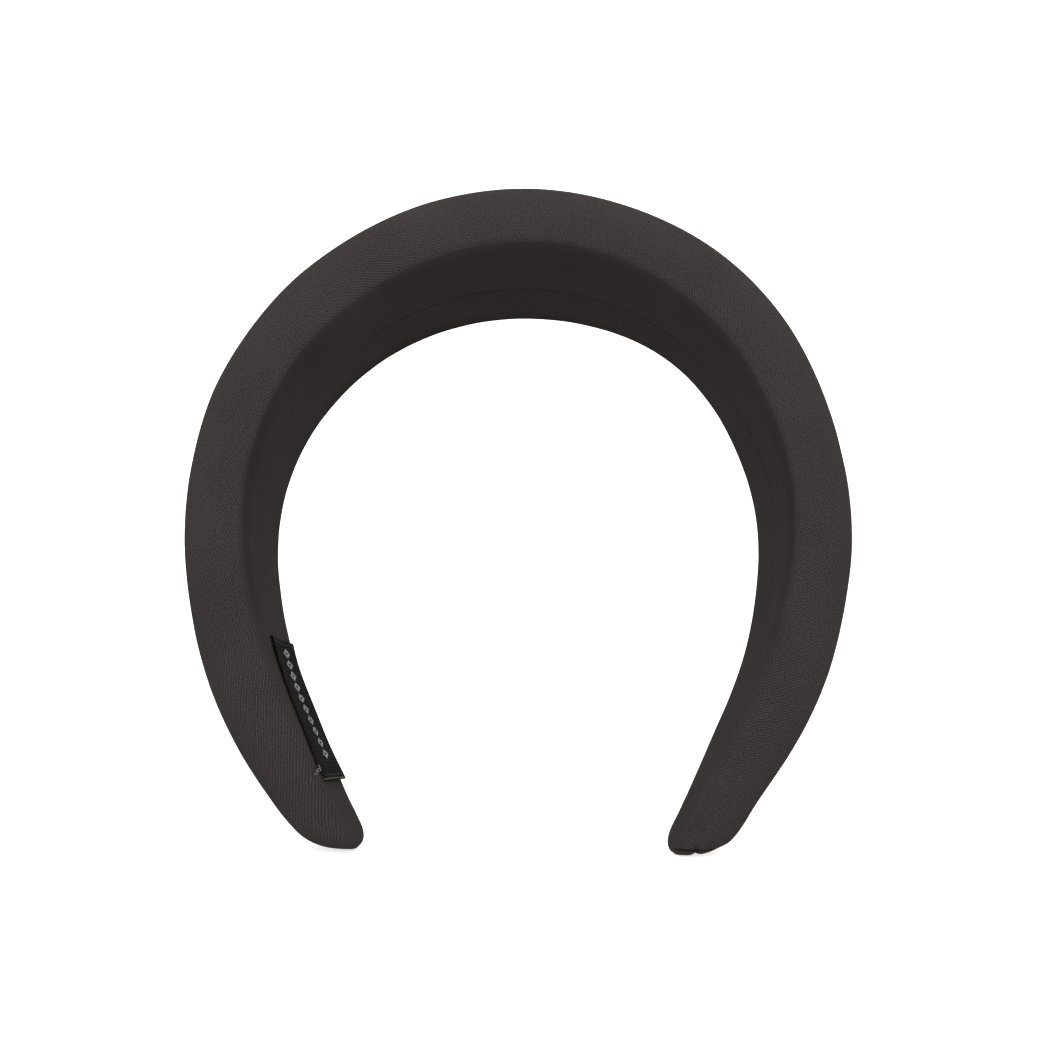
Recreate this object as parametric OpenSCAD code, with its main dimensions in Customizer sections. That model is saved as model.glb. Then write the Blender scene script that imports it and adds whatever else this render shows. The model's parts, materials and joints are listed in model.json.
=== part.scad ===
// Padded fabric headband: a sprung plastic hoop, a foam pad, and a sewn fabric tube pulled over both.
// Frame: millimetres, Z up through the crown, X from the wearer's right arm to the left one, front of the
// band towards -Y. The band stands on its two tips at Z = 0, with the origin midway between them.

/* [Arch] */
// Radius of the inner face round the crown
crown_r = 63.7; // [60:0.1:68]
// Angle from the top of the crown to the end of the crown arc
crown_angle = 98.5; // [94:0.5:100]
// Radius of the inner face along each arm
arm_r = 110; // [100:1:120]
// Angle that each arm arc turns through before the straight tip
arm_angle = 19.7; // [16:0.1:24]
// Height of the inner face at the top of the crown
crown_z = 140; // [136:0.5:142]

/* [Band] */
// Width of the band at the crown, front to back
crown_w = 40; // [34:0.5:42]
// Width of the band a quarter of the way down
shoulder_w = 35; // [30:0.5:38]
// Width of the band half way down
side_w = 30; // [26:0.5:34]
// Width of the band three quarters of the way down
arm_w = 23.5; // [20:0.5:28]
// Width of the band at the tips
tip_w = 15; // [14:0.5:18]
// Thickness of the padded band at the crown
crown_h = 24; // [20:0.5:26]
// Thickness of the padded band a quarter of the way down
shoulder_h = 22.5; // [19:0.5:25]
// Thickness of the padded band half way down
side_h = 18; // [16:0.5:21]
// Thickness of the padded band three quarters of the way down
arm_h = 16.5; // [14:0.5:18]
// Thickness of the padded band at the tips
tip_h = 13; // [12:0.5:15]
// How far the side ridges stand out from the inner face at the crown
crown_ridge = 3; // [2:0.1:3.5]
// How far the side ridges stand out from the inner face half way down
side_ridge = 1; // [0.8:0.1:2]
// How far the side ridges stand out from the inner face at the tips
tip_ridge = 1.5; // [1:0.1:4]
// Rounding of each tip on its front and back
tip_round = 4; // [2.5:0.1:4.5]
// Rounding of each tip on its inner and outer side
tip_round_h = 2.4; // [1.5:0.1:3]
// How much lower the outside is at the end of each tip
tip_slope = 4; // [0:0.5:4.5]

/* [Cover] */
// Thickness of the woven cover
cover_t = 0.6; // [0.4:0.05:0.7]
// Gap where the two edges of the cover meet along the inner face
seam_gap = 0.3; // [0.2:0.05:0.5]
// Diameter of the sewing thread
thread_d = 0.3; // [0.25:0.05:0.4]

/* [Hoop] */
// Thickness of the plastic hoop
hoop_t = 1.8; // [1.5:0.1:2.2]
// Width of the hoop at the crown
hoop_crown_w = 26; // [22:1:27]
// Width of the hoop at its ends
hoop_end_w = 8; // [6:0.5:8.5]
// Height of the ends of the hoop above the ends of the cover
hoop_end_z = 5; // [4:0.5:10]
// Thickness of the felt strip between the hoop and the cover
felt_t = 0.7; // [0.5:0.1:0.8]
// How much narrower the felt strip is than the hoop, on each side
felt_margin = 1; // [0.5:0.5:2]

/* [Label] */
// Width of the woven label
label_w = 15; // [8:1:16]
// Length of the woven label
label_l = 35.5; // [30:0.5:40]
// Thickness of the woven label
label_t = 0.35; // [0.3:0.05:0.5]
// Distance from the end of the tip to the lower end of the label
label_from_tip = 17.5; // [17:0.5:30]
// How far the label's middle sits behind the centre seam
label_back = 0.5; // [0:0.5:1.5]
// Angle that the label is turned on the arm, its upper end backwards
label_turn = 6; // [0:1:6]

/* [Hidden] */

// Distance of the felt strip and of the hoop outside the inner face
felt_h = 1;
hoop_h = felt_h + felt_t + 0.05;

deg = 180 / PI;
end_turn = crown_angle + arm_angle;

// Lengths along the inner face, from the top of the crown to the end of each arc and of the tip
crown_end = crown_r * crown_angle / deg;
arm_end = crown_end + arm_r * arm_angle / deg;
x_crown_end = crown_r * sin(crown_angle);
z_crown_end = crown_z - crown_r * (1 - cos(crown_angle));
x_arm_end = x_crown_end + arm_r * (sin(end_turn) - sin(crown_angle));
z_arm_end = z_crown_end - arm_r * (cos(crown_angle) - cos(end_turn));
tip_end = arm_end + z_arm_end / sin(end_turn);

// Direction of the inner face at a length u from the crown, in degrees turned from level
function turn(u) =
    u < crown_end ? u / crown_r * deg
    : u < arm_end ? crown_angle + (u - crown_end) / arm_r * deg
    : end_turn;
function inner_x(u) =
    u < crown_end ? crown_r * sin(turn(u))
    : u < arm_end ? x_crown_end + arm_r * (sin(turn(u)) - sin(crown_angle))
    : x_arm_end + (u - arm_end) * cos(end_turn);
function inner_z(u) =
    u < crown_end ? crown_z - crown_r * (1 - cos(turn(u)))
    : u < arm_end ? z_crown_end - arm_r * (cos(crown_angle) - cos(turn(u)))
    : z_arm_end - (u - arm_end) * sin(end_turn);

// Cross-sections lean over the last stretch, so that the tips end level
lean_length = 34;
function smooth(t) = let (c = min(max(t, 0), 1)) c * c * (3 - 2 * c);
function lean(u) = smooth((u - tip_end + lean_length) / lean_length) * cos(end_turn) / sin(end_turn);

// Point at length u (negative on the other arm), y behind the middle and h outside the inner face
function place(u, y, h) =
    let (s = u < 0 ? -1 : 1, v = abs(u), a = turn(v), k = lean(v) * h)
    [s * (inner_x(v) + h * sin(a) + k * cos(a)), y, inner_z(v) + h * cos(a) - k * sin(a)];

// Smooth curve through values that are evenly spaced from the crown to the tip, level at the crown
function blend(v, t) =
    let (n = len(v) - 1, x = min(max(t, 0), 1) * n, i = min(floor(x), n - 1), f = x - i,
         before = i == 0 ? v[1] : v[i - 1], after = i == n - 1 ? 2 * v[n] - v[n - 1] : v[i + 2],
         m0 = (v[i + 1] - before) / 2, m1 = (after - v[i]) / 2)
    v[i] * (1 + 2 * f) * (1 - f) * (1 - f) + m0 * f * (1 - f) * (1 - f)
    + v[i + 1] * f * f * (3 - 2 * f) + m1 * f * f * (f - 1);

// Band width, thickness and ridge height along the arch; the outside rounds off over the last stretch
slope_length = 12;
function end_drop(u) = let (t = max(0, (abs(u) - tip_end + slope_length) / slope_length))
    tip_slope * (1 - sqrt(max(0, 1 - t * t)));
function band_w(u) = blend([crown_w, shoulder_w, side_w, arm_w, tip_w], abs(u) / tip_end);
function band_h(u) = blend([crown_h, shoulder_h, side_h, arm_h, tip_h], abs(u) / tip_end) - end_drop(u);
function band_ridge(u) =
    blend([crown_ridge, (crown_ridge + side_ridge) / 2, side_ridge, side_ridge, tip_ridge], abs(u) / tip_end);

// Outline of the band at u, pulled in by inset [width, thickness]: the domed outside, then the inner face
dome_power = 3;
inner_power = 3;
function side(c, p) = sign(c) * pow(abs(c), 2 / p);
function outline_point(u, inset, a) =
    let (w = band_w(u) / 2 - inset[0], low = inset[1], ridge = max(band_ridge(u), low + 0.4),
         top = band_h(u) - inset[1])
    sin(a) < 0 ? [w * side(cos(a), inner_power), ridge + (ridge - low) * sin(a)]
    : [w * side(cos(a), dome_power), ridge + (top - ridge) * sin(a)];

// Stations [length, inset] of a surface that lies off inside the cover's outside, tip to tip
stations_per_arm = 34;
round_steps = 4;
round_start = tip_end - tip_round;
function half_stations(off) = concat(
    [for (i = [1 : stations_per_arm]) [round_start * i / stations_per_arm, [off, off]]],
    [for (i = [1 : round_steps]) let (a = 90 * i / round_steps)
        [round_start + (tip_round - off) * sin(a),
         [tip_round - (tip_round - off) * cos(a), tip_round_h - (tip_round_h - off) * cos(a)]]]);
function mirrored(half) = concat(
    [for (i = [len(half) - 1 : -1 : 0]) [-half[i][0], half[i][1]]],
    [[0, half[0][1]]],
    half);

// Solid skinned over rings of equal length, closed with a flat cap at each end
module skin(rings) {
    n = len(rings[0]);
    last = len(rings) - 1;
    sides = [for (j = [0 : last - 1], i = [0 : n - 1]) each [
        [j * n + i, (j + 1) * n + (i + 1) % n, j * n + (i + 1) % n],
        [j * n + i, (j + 1) * n + i, (j + 1) * n + (i + 1) % n]]];
    caps = [[for (i = [0 : n - 1]) i], [for (i = [n - 1 : -1 : 0]) last * n + i]];
    polyhedron(points = [for (r = rings) each r], faces = concat(sides, caps));
}

// ---- Cover: one strip of cloth round the pad, with its edges meeting along the inner face ----
cover_points = 30;
tuck_steps = 2;
tuck_rise = 0.9;
tuck_end_w = 0.15;

// Angles round the outline, from one seam edge to the other
function cover_angle(i) = -90 + 360 * i / cover_points;
function cover_ring(s, off) = [for (i = [0 : cover_points])
    let (p = outline_point(abs(s[0]), s[1], cover_angle(i)),
         edge = (i == 0 ? 1 : i == cover_points ? -1 : 0) * seam_gap / 2)
    place(s[0], edge == 0 ? p[0] : edge, p[1])];

// Under the tip the cloth is tucked in towards a slit: k runs from 0 at the rim to 1 at the slit
function tuck_ring(arm, off, k) = [for (i = [0 : cover_points])
    let (u = tip_end - off, p = outline_point(u, [tip_round, tip_round_h], cover_angle(i)),
         rim = abs(i == 0 || i == cover_points ? 0 : p[0]),
         y = max(rim * (1 - k) + tuck_end_w * k, seam_gap / 2),
         q = place(arm * u, (2 * i < cover_points ? 1 : -1) * y, p[1]))
    [q[0], i * 2 == cover_points && k == 0 ? 0 : q[1], q[2] + tuck_rise * k * k]];

function cover_rings(off) = let (main = mirrored(half_stations(off))) concat(
    [for (k = [tuck_steps : -1 : 1]) tuck_ring(-1, off, k / tuck_steps)],
    [for (s = main) cover_ring(s, off)],
    [for (k = [1 : tuck_steps]) tuck_ring(1, off, k / tuck_steps)]);

// The cloth as a solid: an outer and an inner sheet of points, joined round their edges
module thick_sheet(outer, inner) {
    n = len(outer[0]);
    m = len(outer);
    all_points = concat([for (r = outer) each r], [for (r = inner) each r]);
    function at(sheet, j, i) = sheet * m * n + j * n + i;
    sheets = [for (j = [0 : m - 2], i = [0 : n - 2]) each [
        [at(0, j, i), at(0, j + 1, i + 1), at(0, j, i + 1)], [at(0, j, i), at(0, j + 1, i), at(0, j + 1, i + 1)],
        [at(1, j, i), at(1, j, i + 1), at(1, j + 1, i + 1)], [at(1, j, i), at(1, j + 1, i + 1), at(1, j + 1, i)]]];
    seam_edges = [for (j = [0 : m - 2]) each [
        [at(0, j, 0), at(1, j + 1, 0), at(0, j + 1, 0)], [at(0, j, 0), at(1, j, 0), at(1, j + 1, 0)],
        [at(0, j, n - 1), at(0, j + 1, n - 1), at(1, j + 1, n - 1)],
        [at(0, j, n - 1), at(1, j + 1, n - 1), at(1, j, n - 1)]]];
    end_edges = [for (i = [0 : n - 2]) each [
        [at(0, 0, i), at(1, 0, i + 1), at(1, 0, i)], [at(0, 0, i), at(0, 0, i + 1), at(1, 0, i + 1)],
        [at(0, m - 1, i), at(1, m - 1, i), at(1, m - 1, i + 1)],
        [at(0, m - 1, i), at(1, m - 1, i + 1), at(0, m - 1, i + 1)]]];
    polyhedron(points = all_points, faces = concat(sheets, seam_edges, end_edges));
}

module cover() {
    color("#3e3938") thick_sheet(cover_rings(0), cover_rings(cover_t));
}

// ---- Foam pad: a D-shaped section with a channel along its inner side for the hoop ----
pad_gap = 0.3;
pad_inset = cover_t + pad_gap;
pad_points = 24;
channel_points = 3;
channel_lip = 1;
channel_top = hoop_h + hoop_t + 0.1;
function channel_w(u) = hoop_w(inner_z(abs(u))) / 2 + pad_gap;

// Angle from the side ridge to the lip beside the channel
function pad_from(u) =
    acos(pow((channel_w(u) + channel_lip) / (band_w(u) / 2 - pad_inset), inner_power / 2));
function pad_point(u, i) =
    let (from = pad_from(u))
    outline_point(u, [pad_inset, pad_inset], -from + (180 + 2 * from) * i / pad_points);
function pad_outer(u) = [for (i = [0 : pad_points]) let (p = pad_point(u, i)) place(u, p[0], p[1])];
function pad_channel(u) =
    let (c = channel_w(u), low = min(pad_point(u, 0)[1], channel_top - 0.4))
    [for (i = [0 : pad_points])
        let (k = min(i, pad_points - i), side = 2 * i < pad_points ? 1 : -1,
             over = pad_points / 2 - channel_points)
        k < channel_points ? place(u, side * c, low + (channel_top - low) * k / channel_points)
        : place(u, c * (pad_points / 2 - i) / over, channel_top)];

pad_stations = concat(
    [for (i = [stations_per_arm : -1 : 1]) -round_start * i / stations_per_arm],
    [for (i = [0 : stations_per_arm]) round_start * i / stations_per_arm]);

module foam_pad() {
    color("#d9d2c0") thick_sheet([for (u = pad_stations) pad_outer(u)], [for (u = pad_stations) pad_channel(u)]);
}

// ---- Strips with true arcs: the hoop, the felt and the seam thread ----
round_fn = 96;
deep = 60;
// Each arc runs on inside the next one by this many degrees, so that they join as one solid
lap = 5;
crown_c = [0, crown_z - crown_r];
arm_c = crown_c + (crown_r - arm_r) * [sin(crown_angle), cos(crown_angle)];

// Width of the hoop at a height
function hoop_w(z) = hoop_end_w + (hoop_crown_w - hoop_end_w) * max(0, z - hoop_end_z) / (crown_z - hoop_end_z);

// Wedge between two directions from a point, measured from straight up
module wedge(c, from, to, reach) {
    translate(c) polygon([[0, 0], reach * [sin(from), cos(from)], reach * [sin(to), cos(to)]]);
}

// Everything inside half of the arch's outline, h outside the inner face
module half_inside(h) {
    intersection() {
        translate(crown_c) circle(r = crown_r + h, $fn = round_fn);
        union() {
            wedge(crown_c, 0, crown_angle / 2, 2 * crown_r);
            wedge(crown_c, crown_angle / 2, crown_angle + lap, 2 * crown_r);
        }
    }
    intersection() {
        translate(arm_c) circle(r = arm_r + h, $fn = round_fn);
        wedge(arm_c, crown_angle, end_turn + lap, 2 * arm_r);
    }
    translate([x_arm_end, z_arm_end]) rotate(-end_turn)
        translate([0, h - arm_r]) square([tip_end - arm_end, arm_r]);
}

module strip(h, t) {
    intersection() {
        rotate([90, 0, 0]) linear_extrude(deep, center = true) for (arm = [0, 1])
            mirror([arm, 0]) difference() {
                half_inside(h + t);
                half_inside(h);
            }
        rotate([90, 0, 90]) linear_extrude(4 * crown_r, center = true) children();
    }
}

// Side view of the hoop, or of a strip that is narrower by less on each side
module side_outline(less) {
    end_r = hoop_end_w / 2 - less;
    translate([0, hoop_end_z + end_r + less]) circle(r = end_r, $fn = round_fn);
    polygon([[-end_r, hoop_end_z + end_r + less], [end_r, hoop_end_z + end_r + less],
             [hoop_crown_w / 2 - less, crown_z], [hoop_crown_w / 2 - less, crown_z + crown_h],
             [less - hoop_crown_w / 2, crown_z + crown_h], [less - hoop_crown_w / 2, crown_z]]);
}

module hoop() {
    color("#e8e6e1") strip(hoop_h, hoop_t) side_outline(0);
}

module inner_felt() {
    color("#b9b4aa") strip(felt_h, felt_t) side_outline(felt_margin);
}

module seam_thread() {
    color("#2b2725") strip(felt_h - thread_d - 0.05, thread_d)
        translate([-thread_d / 2, hoop_end_z]) square([thread_d, crown_z + crown_h]);
}

// ---- Label on the inner face of the right arm, with a row of stitches at each end ----
label_h = -0.1;
label_steps = 14;
label_middle = tip_end - label_from_tip - label_l / 2;

// Point on the label: s towards its upper end and t towards its back edge, both from its middle, and h outside
function label_point(s, t, h) =
    place(-(label_middle - s * cos(label_turn) + t * sin(label_turn)),
          label_back + s * sin(label_turn) + t * cos(label_turn), h);

module label() {
    color("#1c1c1e") skin([for (i = [0 : label_steps])
        let (s = (i / label_steps - 0.5) * label_l, t = label_w / 2)
        [label_point(s, -t, label_h - label_t), label_point(s, t, label_h - label_t),
         label_point(s, t, label_h), label_point(s, -t, label_h)]]);
}

stitch_sides = 8;
stitch_steps = 24;
label_stitch_inset = 1;
label_stitches = 6;

// Thread across the label at s, rising and sinking once for each stitch
module label_stitch_row(s) {
    reach = label_w / 2 - label_stitch_inset;
    skin([for (i = [0 : stitch_steps])
        let (k = i / stitch_steps, rise = thread_d / 2 * pow(sin(180 * label_stitches * k), 2))
        [for (a = [0 : stitch_sides - 1]) let (b = 360 * a / stitch_sides)
            label_point(s - thread_d / 2 * cos(b), (2 * k - 1) * reach,
                        label_face - rise + thread_d / 2 * sin(b))]]);
}

label_face = label_h - label_t - 0.05 - thread_d / 2;

module label_stitches_upper() {
    color("#3a3838") label_stitch_row(label_l / 2 - label_stitch_inset);
}

module label_stitches_lower() {
    color("#3a3838") label_stitch_row(label_stitch_inset - label_l / 2);
}

// ---- Whip stitches across the slit under each tip ----
tip_stitches = 5;
tip_stitch_reach = 0.8;
tip_stitch_steps = 40;
tip_stitch_z = 0.25;
tip_stitch_from = place(tip_end, 0, tip_round_h + 0.5)[0];
tip_stitch_to = place(tip_end, 0, tip_h - tip_slope - tip_round_h - 0.5)[0];

module tip_stitches_row(arm) {
    skin([for (i = [0 : tip_stitch_steps])
        let (t = i / tip_stitch_steps, x = tip_stitch_from + (tip_stitch_to - tip_stitch_from) * t,
             y = tip_stitch_reach * sin(360 * tip_stitches * t))
        [for (a = [0 : stitch_sides - 1]) let (b = -360 * a / stitch_sides)
            [arm * x, arm * (y + thread_d * cos(b)), tip_stitch_z + thread_d / 2 * sin(b)]]]);
}

module tip_stitches_left() {
    color("#3a3838") tip_stitches_row(1);
}

module tip_stitches_right() {
    color("#3a3838") tip_stitches_row(-1);
}

hoop();
inner_felt();
foam_pad();
cover();
seam_thread();
label();
label_stitches_upper();
label_stitches_lower();
tip_stitches_left();
tip_stitches_right();
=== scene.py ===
import json
import math
import bmesh
import bpy
import numpy as np
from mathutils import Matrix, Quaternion, Vector, noise

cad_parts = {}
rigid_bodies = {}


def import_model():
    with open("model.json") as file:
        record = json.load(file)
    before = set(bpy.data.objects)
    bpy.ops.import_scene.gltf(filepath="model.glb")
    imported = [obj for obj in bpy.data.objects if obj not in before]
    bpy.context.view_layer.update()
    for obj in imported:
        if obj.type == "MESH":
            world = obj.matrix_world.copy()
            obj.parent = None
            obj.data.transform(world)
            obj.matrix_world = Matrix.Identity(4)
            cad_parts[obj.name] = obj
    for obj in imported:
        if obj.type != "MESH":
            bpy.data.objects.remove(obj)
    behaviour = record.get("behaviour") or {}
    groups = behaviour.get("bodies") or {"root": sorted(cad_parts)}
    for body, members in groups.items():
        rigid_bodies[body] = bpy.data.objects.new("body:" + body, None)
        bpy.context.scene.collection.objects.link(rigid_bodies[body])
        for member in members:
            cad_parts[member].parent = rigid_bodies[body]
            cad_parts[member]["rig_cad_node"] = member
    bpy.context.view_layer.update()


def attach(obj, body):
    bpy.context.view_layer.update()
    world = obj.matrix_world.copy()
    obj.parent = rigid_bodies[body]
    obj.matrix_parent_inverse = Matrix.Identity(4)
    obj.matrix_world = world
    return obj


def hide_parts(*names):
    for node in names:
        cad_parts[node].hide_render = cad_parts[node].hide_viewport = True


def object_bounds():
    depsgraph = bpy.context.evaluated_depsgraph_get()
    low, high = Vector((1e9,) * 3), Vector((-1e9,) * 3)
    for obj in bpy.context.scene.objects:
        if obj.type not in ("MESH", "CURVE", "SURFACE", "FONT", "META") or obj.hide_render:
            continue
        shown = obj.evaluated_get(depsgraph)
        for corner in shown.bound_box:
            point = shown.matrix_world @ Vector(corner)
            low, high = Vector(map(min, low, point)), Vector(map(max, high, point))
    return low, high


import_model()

MM = 0.001
DEG = math.pi / 180

# ---------------------------------------------------------------- the arch, as in the CAD model (mm)
CROWN_R = 63.7
CROWN_TURN = 98.5 * DEG
ARM_R = 110.0
ARM_TURN = 19.7 * DEG
CROWN_Z = 140.0
END_TURN = CROWN_TURN + ARM_TURN
CROWN_END = CROWN_R * CROWN_TURN
ARM_END = CROWN_END + ARM_R * ARM_TURN
X_CROWN_END = CROWN_R * math.sin(CROWN_TURN)
Z_CROWN_END = CROWN_Z - CROWN_R * (1 - math.cos(CROWN_TURN))
X_ARM_END = X_CROWN_END + ARM_R * (math.sin(END_TURN) - math.sin(CROWN_TURN))
Z_ARM_END = Z_CROWN_END - ARM_R * (math.cos(CROWN_TURN) - math.cos(END_TURN))
TIP = ARM_END + Z_ARM_END / math.sin(END_TURN)

# Crown, shoulder, side, arm and tip of the band
WIDTHS = (40, 35, 30, 23.5, 15)
HEIGHTS = (24, 22.5, 18, 16.5, 13)
LEAN_LENGTH = 34               # over this length the sections turn level with the tip
SLOPE_LENGTH = 12              # over this length the outside slopes in at the end
TIP_SLOPE = 4                  # and by this much

HOOP_W = (8, 26)               # width of the hoop at its ends and at the crown
HOOP_END_Z = 5                 # its ends are this far above the ends of the cover

LABEL_W = 15.0
LABEL_L = 35.5
LABEL_FROM_TIP = 17.5          # from the tip of the arm to the label's lower end
LABEL_BACK = 0.5               # its middle is this far behind the middle of the band
LABEL_TURN = 6 * DEG           # and its upper end is turned back


def smooth(t):
    t = np.clip(t, 0, 1)
    return t * t * (3 - 2 * t)


def bell(x, at, width):
    """1 at the given place, falling off over the width on either side."""
    return np.exp(-((x - at) / width) ** 2)


def blend(values, t):
    """Smooth curve through evenly spaced values, level at the crown."""
    v = np.asarray(values, float)
    n = len(v) - 1
    x = np.clip(t, 0, 1) * n
    i = np.minimum(np.floor(x), n - 1).astype(int)
    f = x - i
    before = np.where(i == 0, v[1], v[np.maximum(i - 1, 0)])
    after = np.where(i == n - 1, 2 * v[n] - v[n - 1], v[np.minimum(i + 2, n)])
    m0 = (v[i + 1] - before) / 2
    m1 = (after - v[i]) / 2
    return (v[i] * (1 + 2 * f) * (1 - f) ** 2 + m0 * f * (1 - f) ** 2
            + v[i + 1] * f * f * (3 - 2 * f) + m1 * f * f * (f - 1))


def band_w(u):
    return blend(WIDTHS, abs(u) / TIP)


def band_h(u):
    t = np.clip((abs(u) - TIP + SLOPE_LENGTH) / SLOPE_LENGTH, 0, 1)
    return blend(HEIGHTS, abs(u) / TIP) - TIP_SLOPE * (1 - np.sqrt(1 - t * t))


def place(u, y, h):
    """Point in metres, from mm: u along the band, y behind its middle, h outside its inner face."""
    u, y, h = np.broadcast_arrays(np.asarray(u, float), np.asarray(y, float), np.asarray(h, float))
    v = np.abs(u)
    side = np.where(u < 0, -1.0, 1.0)
    a = np.where(v < CROWN_END, v / CROWN_R,
                 np.where(v < ARM_END, CROWN_TURN + (v - CROWN_END) / ARM_R, END_TURN))
    x = np.where(v < CROWN_END, CROWN_R * np.sin(a),
                 np.where(v < ARM_END, X_CROWN_END + ARM_R * (np.sin(a) - math.sin(CROWN_TURN)),
                          X_ARM_END + (v - ARM_END) * math.cos(END_TURN)))
    z = np.where(v < CROWN_END, CROWN_Z - CROWN_R * (1 - np.cos(a)),
                 np.where(v < ARM_END, Z_CROWN_END - ARM_R * (math.cos(CROWN_TURN) - np.cos(a)),
                          Z_ARM_END - (v - ARM_END) * math.sin(END_TURN)))
    k = smooth((v - TIP + LEAN_LENGTH) / LEAN_LENGTH) * math.cos(END_TURN) / math.sin(END_TURN) * h
    x = side * (x + h * np.sin(a) + k * np.cos(a))
    z = z + h * np.cos(a) - k * np.sin(a)
    return np.stack([x, y, z], -1) * MM


# ---------------------------------------------------------------- what handwork makes of it (mm)
CROWN_LEAN = 1.9               # the top of the crown stands this far to +X
CROWN_FULLER = 0.012           # share of its thickness that the crown has more
SHOULDER_FULLER = 0.030        # share that the -X shoulder has more
SHOULDER_SLIMMER = 0.02        # share that the +X shoulder lacks
ARM_FULLER = 0.035             # share that the lower -X arm has more
ARM_SLIMMER = 0.05             # share that the lower +X arm lacks

# From the crown to the tip; where there are two rows, they are for the -X and the +X arm.
# How far the inner face puffs inwards, in front of the seam and behind it
FRONT_PUFF = (0.4, 0.4, 0.1, 0.15, 0.3)
BACK_PUFF = ((1.8, 1.4, 0.8, 0.4, 0.1), (1.8, 0.3, 0.8, 0.0, -0.2))
FRONT_PUFF_POWER = 2.5         # the greater the power, the nearer the puff is to the ridge
BACK_PUFF_POWER = (1.3, 4, 16, 12, 6)
# How high the ridges stand above the seam
FRONT_RIDGE = (3.6, 3.2, 1.6, 1.3, 1.5)
BACK_RIDGE = ((2.4, 1.8, 1.1, 1.1, 1.5), (2.4, 3.0, 1.2, 1.1, 1.5))
# The cloth turns the corner at a ridge over this height, and this tightly
RIDGE_TURN = (1.1, 1.1, 1.0, 1.0, 1.3)
RIDGE_POWER = (18, 18, 14, 8, 3)
SLOPE_START = 0.6              # share of the half width where the inner face begins to rise to its ridge

TIP_LIFT = ((0.6, -0.2), (0.05, -0.5))  # how much shorter each arm is, -X then +X: all over, and outside
SEAM_DEPTH = 0.38
SEAM_GAP = 0.03                # half of the slit between the two folded edges


def fullness(u):
    """Share of its planned thickness that the band has at length u."""
    crown = CROWN_FULLER * (1 - smooth(np.abs(u) / 70))
    fuller_shoulder = SHOULDER_FULLER * bell(u, -55, 35)
    slimmer_shoulder = SHOULDER_SLIMMER * bell(u, 60, 40)
    fuller_arm = ARM_FULLER * smooth((-u - 95) / 35) * (1 - smooth((-u - 158) / 20))
    slimmer_arm = ARM_SLIMMER * smooth((u - 130) / 40)
    return 1 + crown + fuller_shoulder - slimmer_shoulder + fuller_arm - slimmer_arm


def made(u, y, h):
    """place(), with the small unevenness of a padded and hand-covered band."""
    u, y, h = np.broadcast_arrays(np.asarray(u, float), np.asarray(y, float), np.asarray(h, float))
    p = place(u, y, h * fullness(u))
    p[..., 0] += CROWN_LEAN * MM * smooth((p[..., 2] / MM - 100) / 50)
    lift_all = np.where(u < 0, TIP_LIFT[0][0], TIP_LIFT[1][0])
    lift_out = np.where(u < 0, TIP_LIFT[0][1], TIP_LIFT[1][1])
    lift = lift_all + lift_out * np.clip(h / 12, 0, 1) ** 1.4
    p[..., 2] += lift * MM * smooth((np.abs(u) - TIP + 15) / 15)
    return p


def puff(u, y):
    """How far the inner face puffs inwards on either side of the seam, most of all near the ridges."""
    share = np.abs(u) / TIP
    t = np.minimum(np.abs(y) / (band_w(u) / 2), 1)
    behind = np.where(np.asarray(u) < 0, blend(BACK_PUFF[0], share), blend(BACK_PUFF[1], share))
    most = np.where(np.asarray(y) < 0, blend(FRONT_PUFF, share), behind)
    k = np.where(np.asarray(y) < 0, FRONT_PUFF_POWER, blend(BACK_PUFF_POWER, share))
    peak = (1 / (1 + k)) ** (1 / k)
    return most * t * (1 - t ** k) / (peak * k / (1 + k))


def ridge_height(u, y):
    share = np.abs(u) / TIP
    behind = np.where(np.asarray(u) < 0, blend(BACK_RIDGE[0], share), blend(BACK_RIDGE[1], share))
    return np.where(np.asarray(y) < 0, blend(FRONT_RIDGE, share), behind)


def inner_face(u, y):
    """How far outside the CAD's inner face the inner face stands, as made."""
    share = np.abs(u) / TIP
    t = np.minimum(np.abs(y) / (band_w(u) / 2), 1)
    turn = np.minimum(blend(RIDGE_TURN, share), ridge_height(u, y))
    corner = turn * (1 - np.sqrt(1 - t ** blend(RIDGE_POWER, share)))
    slope = np.clip((t - SLOPE_START) / (1 - SLOPE_START), 0, 1) ** 1.1
    return corner + (ridge_height(u, y) - turn) * slope - puff(u, y)


def gauss_ring(p, step, sigma):
    """Smooths a closed ring of evenly spaced points."""
    f = np.fft.fftfreq(len(p), d=step)
    g = np.exp(-2 * (math.pi * f * sigma) ** 2)
    return np.stack([np.real(np.fft.ifft(np.fft.fft(p[:, k]) * g)) for k in (0, 1)], 1)


def ring_length(p):
    return np.concatenate([[0], np.cumsum(np.linalg.norm(np.diff(p, axis=0), axis=1))])


def along_ring(at, d, p):
    return np.stack([np.interp(at, d, p[:, k]) for k in (0, 1)], 1)


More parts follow.
